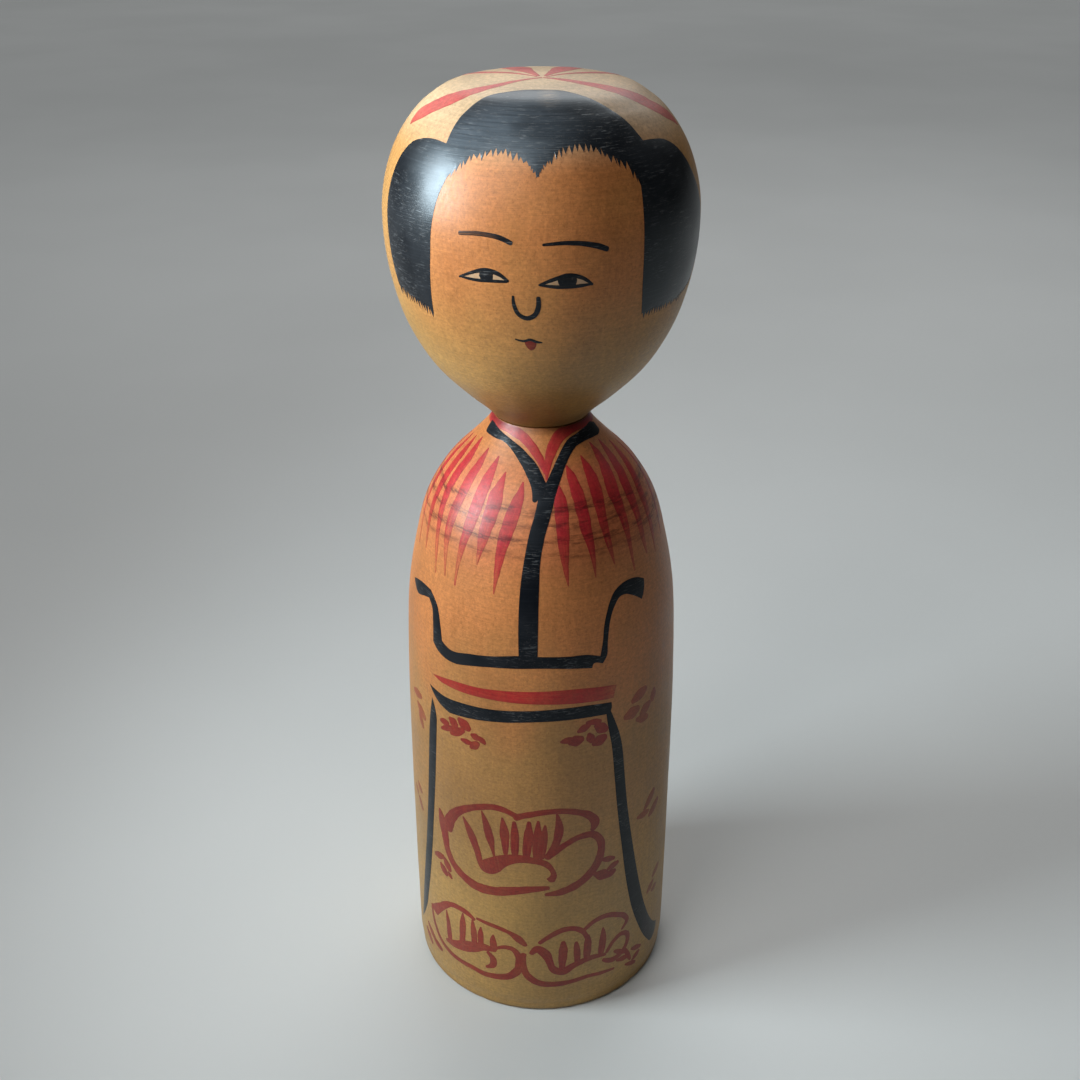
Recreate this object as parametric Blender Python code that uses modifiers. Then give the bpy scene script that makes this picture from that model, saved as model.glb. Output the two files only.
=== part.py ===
"""Kokeshi doll: a turned wooden doll whose head turns on a peg in its body.

Run with: blender --background --python part.py
Units are metres and +Z is up. The doll stands on z = 0, its turning axis is the Z axis, and its face
looks along -Y.
"""

import math

import bpy
from mathutils import Vector

# Driving dimensions
HEIGHT = 0.240  # standing height: eight sun, a usual size for this kind of doll
CREASE_HEIGHT = 0.1625  # the neck crease, where the head meets the body
BODY_RADIUS = 0.0351
HEAD_RADIUS = 0.0353
CREASE_RADIUS = 0.0112
FOOT_ROUND = 0.0008  # rounded edge of the standing face

PEG_RADIUS = 0.006
PEG_IN_HEAD = 0.018  # how far the peg is glued up into the head
PEG_IN_BODY = 0.024  # how far it reaches down into the body
BEAD_SWELL = 0.0006  # the bead near the peg's foot stands this far out, and keeps the head on
BEAD_HEIGHT = 0.005
LIP_LENGTH = 0.014  # the narrow mouth of the socket, which the bead is pressed past

SEAM_GAP = 0.0003  # between the head's underside and the body's top
RUNNING_GAP = 0.0001  # around the peg, in the socket's lip and in the head's bore
END_GAP = 0.0005  # past either end of the peg
CHAMBER_GAP = 0.0004  # around the bead, in the chamber below the lip
CHAMFER = 0.0008

TURNING_STEPS = 48
RINGS_PER_SPAN = 3

# The outlines, as (share of the height, share of the largest radius), from the bottom up.
BODY_OUTLINE = (
    (0.015, 0.984),
    (0.05, 0.997),
    (0.25, 1.000),
    (0.49, 0.995),
    (0.64, 0.977),
    (0.73, 0.946),
    (0.81, 0.876),
    (0.87, 0.793),
    (0.92, 0.652),
    (0.957, 0.486),
    (0.980, 0.385),
)
HEAD_OUTLINE = (
    (0.04, 0.398),
    (0.09, 0.520),
    (0.17, 0.690),
    (0.25, 0.808),
    (0.35, 0.907),
    (0.48, 0.977),
    (0.61, 1.000),
    (0.71, 0.979),
    (0.81, 0.906),
    (0.89, 0.794),
    (0.94, 0.672),
    (0.977, 0.490),
)

WOOD_COLOUR = (0.560, 0.352, 0.170, 1.0)
PEG_COLOUR = (0.640, 0.455, 0.262, 1.0)


def clear_scene():
    for scene_object in list(bpy.data.objects):
        bpy.data.objects.remove(scene_object, do_unlink=True)


def smooth_line(points):
    """Points along a Catmull-Rom curve through the given (radius, height) pairs, end pairs included.

    The first and last pairs only steer the curve's ends: it runs from the second to the last but one.
    """
    line = []
    for before, start, end, after in zip(points, points[1:], points[2:], points[3:]):
        for step in range(RINGS_PER_SPAN):
            t = step / RINGS_PER_SPAN
            line.append(
                0.5
                * (
                    2 * start
                    + (end - before) * t
                    + (2 * before - 5 * start + 4 * end - after) * t**2
                    + (3 * start - before - 3 * end + after) * t**3
                )
            )
    line.append(points[-2])
    return line


def stations(outline, height, radius):
    """The outline's points at real size, as (radius, height)."""
    return [Vector((across * radius, up * height)) for up, across in outline]


def arc(centre, radius, start_degrees, end_degrees, steps):
    """Points on an arc in the (radius, height) plane, with angles counted from straight out."""
    points = []
    for step in range(steps + 1):
        angle = math.radians(start_degrees + (end_degrees - start_degrees) * step / steps)
        points.append(centre + Vector((math.cos(angle), math.sin(angle))) * radius)
    return points


def body_profile():
    """From the socket's floor up its wall, over the neck, down the outside and in along the base."""
    top = CREASE_HEIGHT - SEAM_GAP / 2
    lip_radius = PEG_RADIUS + RUNNING_GAP
    chamber_radius = PEG_RADIUS + BEAD_SWELL + CHAMBER_GAP
    floor = CREASE_HEIGHT - PEG_IN_BODY - END_GAP
    lip_foot = top - LIP_LENGTH
    socket = [
        Vector((0, floor)),
        Vector((chamber_radius, floor)),
        Vector((chamber_radius, lip_foot - (chamber_radius - lip_radius))),
        Vector((lip_radius, lip_foot)),
        Vector((lip_radius, top - CHAMFER)),
        Vector((lip_radius + CHAMFER, top)),
    ]
    neck = Vector((CREASE_RADIUS, top))
    foot = stations(BODY_OUTLINE, CREASE_HEIGHT, BODY_RADIUS)
    outside = smooth_line([2 * neck - foot[-1], neck] + foot[::-1] + [Vector((foot[0].x, 0))])
    edge = arc(Vector((foot[0].x - FOOT_ROUND, FOOT_ROUND)), FOOT_ROUND, 0, -90, 4)
    return socket + outside + edge + [Vector((0, 0))]


def head_profile():
    """From the crown down the outside, across the underside and up the bore. Heights from the crease."""
    height = HEIGHT - CREASE_HEIGHT
    underside = SEAM_GAP / 2
    bore_radius = PEG_RADIUS + RUNNING_GAP
    ceiling = PEG_IN_HEAD + END_GAP
    crown = Vector((0, height))
    cheeks = stations(HEAD_OUTLINE, height, HEAD_RADIUS)
    beyond_crown = Vector((-cheeks[-1].x, cheeks[-1].y))
    crease = Vector((CREASE_RADIUS, underside))
    outside = smooth_line([beyond_crown, crown] + cheeks[::-1] + [crease, 2 * crease - cheeks[0]])
    bore = [
        Vector((bore_radius + CHAMFER, underside)),
        Vector((bore_radius, underside + CHAMFER)),
        Vector((bore_radius, ceiling)),
        Vector((0, ceiling)),
    ]
    return outside + bore


def peg_profile():
    """A dowel with chamfered ends and a low bead near its foot. Heights from the crease."""
    bead_steps = 8
    bead_top = -LIP_LENGTH - CHAMBER_GAP * 3
    bead = []
    for step in range(bead_steps + 1):
        share = step / bead_steps
        swell = BEAD_SWELL * math.sin(math.pi * share) ** 2
        bead.append(Vector((PEG_RADIUS + swell, bead_top - BEAD_HEIGHT * share)))
    top = [
        Vector((0, PEG_IN_HEAD)),
        Vector((PEG_RADIUS - CHAMFER, PEG_IN_HEAD)),
        Vector((PEG_RADIUS, PEG_IN_HEAD - CHAMFER)),
    ]
    foot = [
        Vector((PEG_RADIUS, CHAMFER - PEG_IN_BODY)),
        Vector((PEG_RADIUS - CHAMFER, -PEG_IN_BODY)),
        Vector((0, -PEG_IN_BODY)),
    ]
    return top + bead + foot


def wood(name, colour, roughness):
    material = bpy.data.materials.new(name)
    material.use_nodes = True
    surface = material.node_tree.nodes["Principled BSDF"]
    surface.inputs["Base Color"].default_value = colour
    surface.inputs["Roughness"].default_value = roughness
    surface.inputs["Metallic"].default_value = 0.0
    material.diffuse_color = colour
    return material


def turn(name, profile, material, collection, parent=None):
    """Turn a profile, listed down its outer side, about the Z axis into one closed solid."""
    mesh = bpy.data.meshes.new(name)
    edges = [(index, index + 1) for index in range(len(profile) - 1)]
    mesh.from_pydata([(point.x, 0.0, point.y) for point in profile], edges, [])
    mesh.materials.append(material)
    turned = bpy.data.objects.new(name, mesh)
    collection.objects.link(turned)
    turned.parent = parent
    screw = turned.modifiers.new("turning", "SCREW")
    screw.axis = "Z"
    screw.angle = math.tau
    screw.steps = TURNING_STEPS
    screw.render_steps = TURNING_STEPS
    screw.use_merge_vertices = True
    screw.merge_threshold = 0.00001
    screw.use_smooth_shade = True
    return turned


def pivot(name, height, collection):
    empty = bpy.data.objects.new(name, None)
    empty.empty_display_size = 0.02
    empty.location = (0.0, 0.0, height)
    collection.objects.link(empty)
    return empty


def build():
    clear_scene()
    doll = bpy.data.collections.new("kokeshi_doll")
    bpy.context.scene.collection.children.link(doll)
    turn("body", body_profile(), wood("body_wood", WOOD_COLOUR, 0.42), doll)
    head_pivot = pivot("head_pivot", CREASE_HEIGHT, doll)
    turn("head", head_profile(), wood("head_wood", WOOD_COLOUR, 0.40), doll, head_pivot)
    turn("neck_peg", peg_profile(), wood("peg_wood", PEG_COLOUR, 0.60), doll, head_pivot)


build()
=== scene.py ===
"""Kokeshi doll: the visual model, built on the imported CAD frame.

The body and the head are turned skins that follow the CAD nodes' own outlines. Every painted mark is a
thin film of its own, laid on those skins.

Marks are listed in degrees and millimetres, apart from the crown's, which are all millimetres. An
angle runs round the turning axis from the front (-Y) towards +X. The second number is the height above
the standing face for a mark on the body, and the distance down from the crown, over the surface, for a
mark on the head. A third number is a stroke's width, and a fourth how much colour the brush still held,
from 0 to 1, where it wasn't full.
"""

import math
import random

import bpy
import numpy as np
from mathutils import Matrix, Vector, noise
from mathutils.geometry import delaunay_2d_cdt
from mathutils.kdtree import KDTree


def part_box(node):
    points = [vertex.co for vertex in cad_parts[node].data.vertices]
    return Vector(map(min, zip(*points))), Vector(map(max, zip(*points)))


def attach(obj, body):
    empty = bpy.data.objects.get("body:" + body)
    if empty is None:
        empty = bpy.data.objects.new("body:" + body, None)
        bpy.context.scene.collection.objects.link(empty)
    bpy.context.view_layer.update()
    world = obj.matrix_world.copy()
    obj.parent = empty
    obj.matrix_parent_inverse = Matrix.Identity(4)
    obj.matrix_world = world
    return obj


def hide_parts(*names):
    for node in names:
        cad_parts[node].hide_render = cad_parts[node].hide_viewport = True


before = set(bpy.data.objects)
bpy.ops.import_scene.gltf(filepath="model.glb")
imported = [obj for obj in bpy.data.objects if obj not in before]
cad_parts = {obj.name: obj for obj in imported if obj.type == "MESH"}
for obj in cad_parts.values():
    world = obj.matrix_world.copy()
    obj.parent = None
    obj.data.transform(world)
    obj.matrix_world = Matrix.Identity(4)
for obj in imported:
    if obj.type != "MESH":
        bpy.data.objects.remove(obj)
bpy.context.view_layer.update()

MM = 0.001

# Skins
SEGMENTS = 180
RING_STEP = 0.8
CORNER_DEGREES = 30
UNEVEN_SIZE = 16.0
UNEVEN_DEPTH = 0.05

# Films: the top rises from a share of its height at the edge to all of it inside
INK_FILM = 0.09
LID_FILM = 0.085
FACE_INK_FILM = 0.08
IRIS_FILM = 0.078
SASH_FILM = 0.06
DYE_FILM = 0.05
THIN_FILM = 0.045
FILM_SINK = 0.06
WALL_SHARE = 0.45
SOFT_EDGE = 0.5

# Brush: a stroke's width wavers, and so does its place, over these lengths
SPINE_STEP = 0.5
WIDTH_WAVER = 0.10
WIDTH_WAVER_LENGTH = 1.7
SIDE_WAVER = 0.06
SIDE_WAVER_LENGTH = 2.3

# Camera: it looks along +Y and down
CAMERA_PLACE = (-0.0003, -0.300, 0.28665)
CAMERA_DOWN_DEGREES = 28
CAMERA_LENS = 45
CAMERA_SENSOR = 36


# -------- curves


def smooth_curve(points, spacing):
    """Points spaced along a smooth curve through the given ones. Columns after the first two follow."""
    points = np.asarray(points, float)
    if len(points) == 2:
        middle = points.mean(axis=0)
        points = np.array([points[0], middle, points[1]])
    lengths = np.linalg.norm(np.diff(points[:, :2], axis=0), axis=1)[:, None]
    slopes = np.diff(points, axis=0) / lengths
    shares = lengths[:-1] / (lengths[:-1] + lengths[1:])
    inner = slopes[:-1] * (1 - shares) + slopes[1:] * shares
    first = 1.5 * slopes[:1] - 0.5 * inner[:1]
    last = 1.5 * slopes[-1:] - 0.5 * inner[-1:]
    tangents = np.concatenate([first, inner, last])
    curve = []
    for index, length in enumerate(lengths[:, 0]):
        steps = max(1, math.ceil(length / spacing))
        for step in range(steps):
            t = step / steps
            start, end = points[index], points[index + 1]
            leave, arrive = tangents[index] * length, tangents[index + 1] * length
            curve.append(
                start * (2 * t**3 - 3 * t**2 + 1)
                + leave * (t**3 - 2 * t**2 + t)
                + end * (3 * t**2 - 2 * t**3)
                + arrive * (t**3 - t**2)
            )
    curve.append(points[-1])
    return np.array(curve)


def joined(runs):
    """One closed outline from runs of points that each end where the next one starts."""
    return np.concatenate([run[:-1] for run in runs])


def smoothstep(values):
    clipped = np.clip(values, 0.0, 1.0)
    return clipped * clipped * (3 - 2 * clipped)


# -------- turned forms


def node_outline(node_name, start_high):
    """A turned node's outline as (radius, height) corners, from one axis point to the other."""
    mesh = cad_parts[node_name].data
    corners = [vertex.co / MM for vertex in mesh.vertices]
    keys = [(round(corner.x, 3), round(corner.z, 3)) for corner in corners]
    in_plane = [abs(corner.y) < 0.001 and corner.x > -0.001 for corner in corners]
    neighbours = {}
    for edge in mesh.edges:
        a, b = edge.vertices
        if in_plane[a] and in_plane[b] and keys[a] != keys[b]:
            neighbours.setdefault(keys[a], set()).add(keys[b])
            neighbours.setdefault(keys[b], set()).add(keys[a])
    ends = sorted((key for key in neighbours if len(neighbours[key]) == 1), key=lambda key: key[1])
    path = [ends[-1] if start_high else ends[0]]
    onward = neighbours[path[0]]
    while onward:
        path.append(min(onward))
        onward = neighbours[path[-1]] - set(path)
    # A flat disc has no vertex of its own on the axis
    if path[0][0] > 0:
        path.insert(0, (0.0, path[0][1]))
    if path[-1][0] > 0:
        path.append((0.0, path[-1][1]))
    return path


def smooth_outline(corners):
    """The outline in fine steps: smooth where it curves, with real corners and level faces kept."""
    corners = np.array(corners, float)
    steps = np.diff(corners, axis=0)
    headings = np.unwrap(np.arctan2(steps[:, 1], steps[:, 0]))
    turns = np.abs(np.degrees(np.diff(headings)))
    level = np.abs(steps[:, 1]) < 0.001
    kept = (turns > CORNER_DEGREES) | level[1:] | level[:-1]
    breaks = [0] + [index + 1 for index, corner in enumerate(kept) if corner]
    breaks.append(len(corners) - 1)
    runs = []
    for start, end in zip(breaks, breaks[1:]):
        runs.append(smooth_curve(corners[start : end + 1], RING_STEP)[:-1])
    return np.concatenate(runs + [corners[-1:]])


def turned_places(angles, radii, heights):
    """Places in metres from angles round the axis, radii and heights."""
    turns = np.radians(angles)
    return np.column_stack([np.sin(turns) * radii, -np.cos(turns) * radii, heights]) * MM


class TurnedForm:
    """The surface of a turned CAD node. It gives points on its outside by angle and distance down."""

    def __init__(self, node_name, neck_is_top, seed, dents=(), base_marks=None):
        path = node_outline(node_name, start_high=not neck_is_top)
        side = 1 if neck_is_top else -1
        rim = path.index(max(path, key=lambda corner: (side * corner[1], corner[0])))
        outside = path[: rim + 1]
        if neck_is_top:
            outside = outside[::-1]
        self.name = node_name
        self.seed = Vector((seed, 2 * seed, -seed))
        self.dents = dents
        self.base_marks = base_marks
        self.neck_is_top = neck_is_top
        self.outside = smooth_outline(outside)
        self.inside = smooth_outline(path[rim:])
        steps = np.linalg.norm(np.diff(self.outside, axis=0), axis=1)
        self.down = np.concatenate(([0.0], np.cumsum(steps)))
        slopes = np.gradient(self.outside, self.down, axis=0)
        normals = np.column_stack([-slopes[:, 1], slopes[:, 0]])
        self.normals = normals / np.linalg.norm(normals, axis=1)[:, None]
        self.widest = self.outside[:, 0].max()

    def radius(self, down):
        return np.interp(down, self.down, self.outside[:, 0])

    def height(self, down):
        return np.interp(down, self.down, self.outside[:, 1])

    def down_at_height(self, height):
        return np.interp(-np.asarray(height), -self.outside[:, 1], self.down)

    def down_at_radius(self, radius):
        """On the crown, where the radius only grows."""
        crown = slice(0, int(self.outside[:, 0].argmax()) + 1)
        return np.interp(radius, self.outside[crown, 0], self.down[crown])

    def hollow(self, angle, radius, height):
        """How far the surface lies from the true form here: hand-turned unevenness, dents, base marks."""
        if self.base_marks is not None and height < 0.02:
            return -self.base_marks(angle, radius)
        turn = math.radians(angle)
        place = Vector((math.sin(turn) * radius, -math.cos(turn) * radius, height))
        rise = min(1.0, height / 4) * UNEVEN_DEPTH * noise.noise(place / UNEVEN_SIZE + self.seed)
        for dent_angle, dent_height, size, depth in self.dents:
            off = math.radians((angle - dent_angle + 180) % 360 - 180) * radius
            reach = math.hypot(off, height - dent_height) / size
            if reach < 2.5:
                rise -= depth * math.exp(-2 * reach * reach)
        return rise

    def points(self, angles, downs, lifts):
        """Points on the outside, in metres."""
        angles, downs, lifts = np.broadcast_arrays(angles, downs, lifts)
        radii = self.radius(downs)
        heights = self.height(downs)
        hollows = [self.hollow(*row) for row in zip(angles, radii, heights)]
        lifts = lifts + np.array(hollows)
        outward = np.interp(downs, self.down, self.normals[:, 0])
        upward = np.interp(downs, self.down, self.normals[:, 1])
        radii = radii + outward * lifts
        heights = heights + upward * lifts
        return turned_places(angles, radii, heights)

    def skin(self, name):
        """The whole turned piece as one closed mesh, with its socket or bore."""
        angles = np.arange(SEGMENTS) * 360 / SEGMENTS
        rings = [self.points(angles, down, 0.0) for down in self.down]
        level = np.ones(SEGMENTS)
        bore = [turned_places(angles, radius, height * level) for radius, height in self.inside[1:]]
        chain = bore[::-1] + rings if self.neck_is_top else rings + bore
        top, bottom = chain[0].mean(axis=0), chain[-1].mean(axis=0)
        middle = chain[1:-1]
        vertices = np.concatenate([top[None], *middle, bottom[None]])
        last = len(vertices) - 1
        faces = []
        for segment in range(SEGMENTS):
            after = (segment + 1) % SEGMENTS
            faces.append((0, 1 + segment, 1 + after))
            for ring in range(len(middle) - 1):
                here, below = 1 + ring * SEGMENTS, 1 + (ring + 1) * SEGMENTS
                faces.append((here + segment, below + segment, below + after, here + after))
            foot = 1 + (len(middle) - 1) * SEGMENTS
            faces.append((foot + segment, last, foot + after))
        return make_object(name, vertices, faces)


def make_object(name, vertices, faces):
    mesh = bpy.data.meshes.new(name)
    mesh.from_pydata([tuple(vertex) for vertex in vertices], [], faces)
    mesh.shade_smooth()
    mesh.set_sharp_from_angle(angle=math.radians(40))
    made = bpy.data.objects.new(name, mesh)
    bpy.context.scene.collection.objects.link(made)
    return made


# -------- charts and strokes


class SideChart:
    """Unrolls a form's side: x is the way round at its widest radius, y is up the surface."""

    def __init__(self, form, by_height):
        self.form = form
        self.by_height = by_height

    def flatten(self, marks):
        rows = np.array(marks, float)
        rows[:, 0] = np.radians(rows[:, 0]) * self.form.widest
        rows[:, 1] = -self.form.down_at_height(rows[:, 1]) if self.by_height else -rows[:, 1]
        return rows

    def stretch(self, flat):
        """How many times wider the chart is than the surface."""
        return self.form.widest / np.maximum(self.form.radius(-flat[:, 1]), 1.0)

    def lay(self, flat, lifts):
        downs = np.clip(-flat[:, 1], 0.12, None)
        return self.form.points(np.degrees(flat[:, 0] / self.form.widest), downs, lifts)


class CrownChart:
    """The crown seen from above: x and y in plan."""

    def __init__(self, form):
        self.form = form

    def flatten(self, marks):
        return np.array(marks, float)

    def stretch(self, flat):
        return np.ones(len(flat))

    def lay(self, flat, lifts):
        angles = np.degrees(np.arctan2(flat[:, 0], -flat[:, 1]))
        downs = self.form.down_at_radius(np.hypot(flat[:, 0], flat[:, 1]))
        return self.form.points(angles, downs, lifts)


def patch(chart, *runs):
    """A filled shape from smooth runs of marks, with a corner at each run's last mark."""
    starts = [run[-1] for run in runs[-1:] + runs[:-1]]
    return {"outline": joined([smooth_run(chart, (start, *run)) for start, run in zip(starts, runs)])}


def smooth_run(chart, marks):
    return smooth_curve(chart.flatten(marks), SPINE_STEP)


def toothed(chart, marks, pitch, depth, rng):
    """A hair edge: a run with uneven teeth that point down."""
    line = smooth_curve(chart.flatten(marks), pitch / 2)
    edge = line.copy()
    for index in range(1, len(line) - 1):
        edge[index, 0] += rng.uniform(-0.22, 0.22) * pitch
        if index % 2:
            edge[index, 1] -= depth * rng.uniform(0.35, 0.85)
        else:
            edge[index, 1] += depth * rng.uniform(0.1, 0.45)
    return edge


def stroke(chart, marks, seed=0.0, press=1.0, blunt=0.7):
    """One brush stroke through marks of angle, place, width and load. Press widens it."""
    spine = smooth_run(chart, [(*mark, 1.0)[:4] for mark in marks])
    stretch = chart.stretch(spine)
    across = np.column_stack([spine[:, 0] / stretch, spine[:, 1]])
    heading = np.gradient(across, axis=0)
    heading /= np.linalg.norm(heading, axis=1)[:, None]
    normal = np.column_stack([-heading[:, 1], heading[:, 0]])
    travel = np.concatenate(([0.0], np.cumsum(np.linalg.norm(np.diff(across, axis=0), axis=1))))
    wobble = [1 + WIDTH_WAVER * noise.noise(Vector((x / WIDTH_WAVER_LENGTH, seed, 0.5))) for x in travel]
    lean = [SIDE_WAVER * noise.noise(Vector((x / SIDE_WAVER_LENGTH, seed, 7.5))) for x in travel]
    half = np.maximum(spine[:, 2] * press, 0.05) / 2 * np.array(wobble)

    def offset(index, sideways, onward):
        shift = normal[index] * sideways + heading[index] * onward
        return spine[index, :2] + shift * (stretch[index], 1.0)

    count = len(spine)
    left = [offset(i, half[i] * (1 + lean[i]), 0) for i in range(count)]
    right = [offset(i, -half[i] * (1 - lean[i]), 0) for i in range(count)]
    turns = [math.radians(turn) for turn in (30, 60, 90, 120, 150)]
    reach = half * blunt
    end = [offset(-1, half[-1] * math.cos(turn), reach[-1] * math.sin(turn)) for turn in turns]
    start = [offset(0, -half[0] * math.cos(turn), -reach[0] * math.sin(turn)) for turn in turns]
    return {
        "outline": np.array(left + end + right[::-1] + start),
        "spine": np.column_stack([spine[:, :2], normal, travel, spine[:, 3], half]),
    }


def strokes(chart, table, seed=1.0, press=1.0):
    return [stroke(chart, marks, seed + index, press) for index, marks in enumerate(table)]


def dabs(chart, table, seed=1.0, press=1.7):
    """Short pressed strokes: start angle and place, end angle and place, and the greatest width."""
    made = []
    for index, (angle_a, place_a, angle_b, place_b, width) in enumerate(table):
        middle = ((angle_a + angle_b) / 2, (place_a + place_b) / 2, width)
        marks = [(angle_a, place_a, width * 0.45), middle, (angle_b, place_b, width * 0.6)]
        made.append(stroke(chart, marks, seed + index, press))
    return made


# -------- films


def tree_of(places):
    tree = KDTree(len(places))
    for index, place in enumerate(places):
        tree.insert((place[0], place[1], 0), index)
    tree.balance()
    return tree


def triangulate(shapes, lattice):
    """Triangles over the union of the shapes' outlines, with inner points about one lattice apart."""
    corners, faces = [], []
    for shape in shapes:
        outline = shape["outline"][:, :2]
        x, y = outline.T
        if np.sum(x * np.roll(y, -1) - y * np.roll(x, -1)) < 0:
            outline = outline[::-1]
        faces.append(list(range(len(corners), len(corners) + len(outline))))
        corners.extend(tuple(corner) for corner in outline)
    edge_tree = tree_of(corners)
    lowest, highest = np.min(corners, axis=0), np.max(corners, axis=0)
    inner = []
    for row, y in enumerate(np.arange(lowest[1], highest[1], lattice * 0.866)):
        for x in np.arange(lowest[0] + (row % 2) * lattice / 2, highest[0], lattice):
            if edge_tree.find((x, y, 0))[2] > lattice * 0.4:
                inner.append((x, y))
    for shape in shapes:
        if "spine" in shape:
            wide = shape["spine"][:, 6] > 0.2
            inner.extend(tuple(place) for place in shape["spine"][wide][1:-1, :2])
    places = [Vector(corner) for corner in corners + inner]
    vertices, _, triangles, _, _, parents = delaunay_2d_cdt(places, [], faces, 1, 1e-4)
    kept = [triangle for triangle, parent in zip(triangles, parents) if parent]
    used = sorted({index for triangle in kept for index in triangle})
    renamed = {old: new for new, old in enumerate(used)}
    flat = np.array([vertices[index][:] for index in used])
    return flat, [[renamed[index] for index in triangle] for triangle in kept]


def edges_of(triangles):
    """The directed edges that only one triangle has."""
    directed = set()
    for a, b, c in triangles:
        directed.update(((a, b), (b, c), (c, a)))
    return sorted(edge for edge in directed if (edge[1], edge[0]) not in directed)


def brush_marks(flat, shapes):
    """Per point: the way along and across the nearest stroke, and its load."""
    spines = [shape["spine"] for shape in shapes if "spine" in shape]
    if not spines:
        return flat[:, 0], flat[:, 1], np.ones(len(flat))
    spine = np.concatenate(spines)
    tree = tree_of(spine)
    along, across, load = [], [], []
    for place in flat:
        nearest = spine[tree.find((place[0], place[1], 0))[1]]
        along.append(nearest[4])
        across.append(float(np.dot(place - nearest[:2], nearest[2:4])))
        load.append(nearest[5])
    return np.array(along), np.array(across), np.array(load)


def add_attribute(mesh, name, values):
    attribute = mesh.attributes.new(name, "FLOAT", "POINT")
    attribute.data.foreach_set("value", np.asarray(values, np.float32))


def film(name, chart, shapes, finish, thickness, lattice, dry_spots=()):
    """A closed film of paint on a form: its top follows the surface and its underside is sunk in it."""
    flat, triangles = triangulate(shapes, lattice)
    rim = edges_of(triangles)
    rim_tree = tree_of([flat[a] for a, _ in rim])
    inset = np.array([rim_tree.find((x, y, 0))[2] for x, y in flat])
    rise = thickness * (WALL_SHARE + (1 - WALL_SHARE) * smoothstep(inset / SOFT_EDGE))
    top = chart.lay(flat, rise)
    bottom = chart.lay(flat, -FILM_SINK)
    count = len(flat)
    faces = list(triangles)
    faces += [(c + count, b + count, a + count) for a, b, c in triangles]
    faces += [(a + count, b + count, b, a) for a, b in rim]
    made = make_object(name, np.concatenate([top, bottom]), faces)
    along, across, load = brush_marks(flat, shapes)
    for angle, place, reach, left in dry_spots:
        centre = chart.flatten([(angle, place)])[0]
        near = smoothstep(np.linalg.norm(flat - centre, axis=1) / reach)
        load = load * (left + (1 - left) * near)
    for label, values in (("inset", inset), ("along", along), ("across", across), ("load", load)):
        add_attribute(made.data, label, np.tile(values, 2))
    made.data.materials.append(finish["material"])
    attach(made, chart.form.name)
    return made


# -------- material nodes


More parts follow.
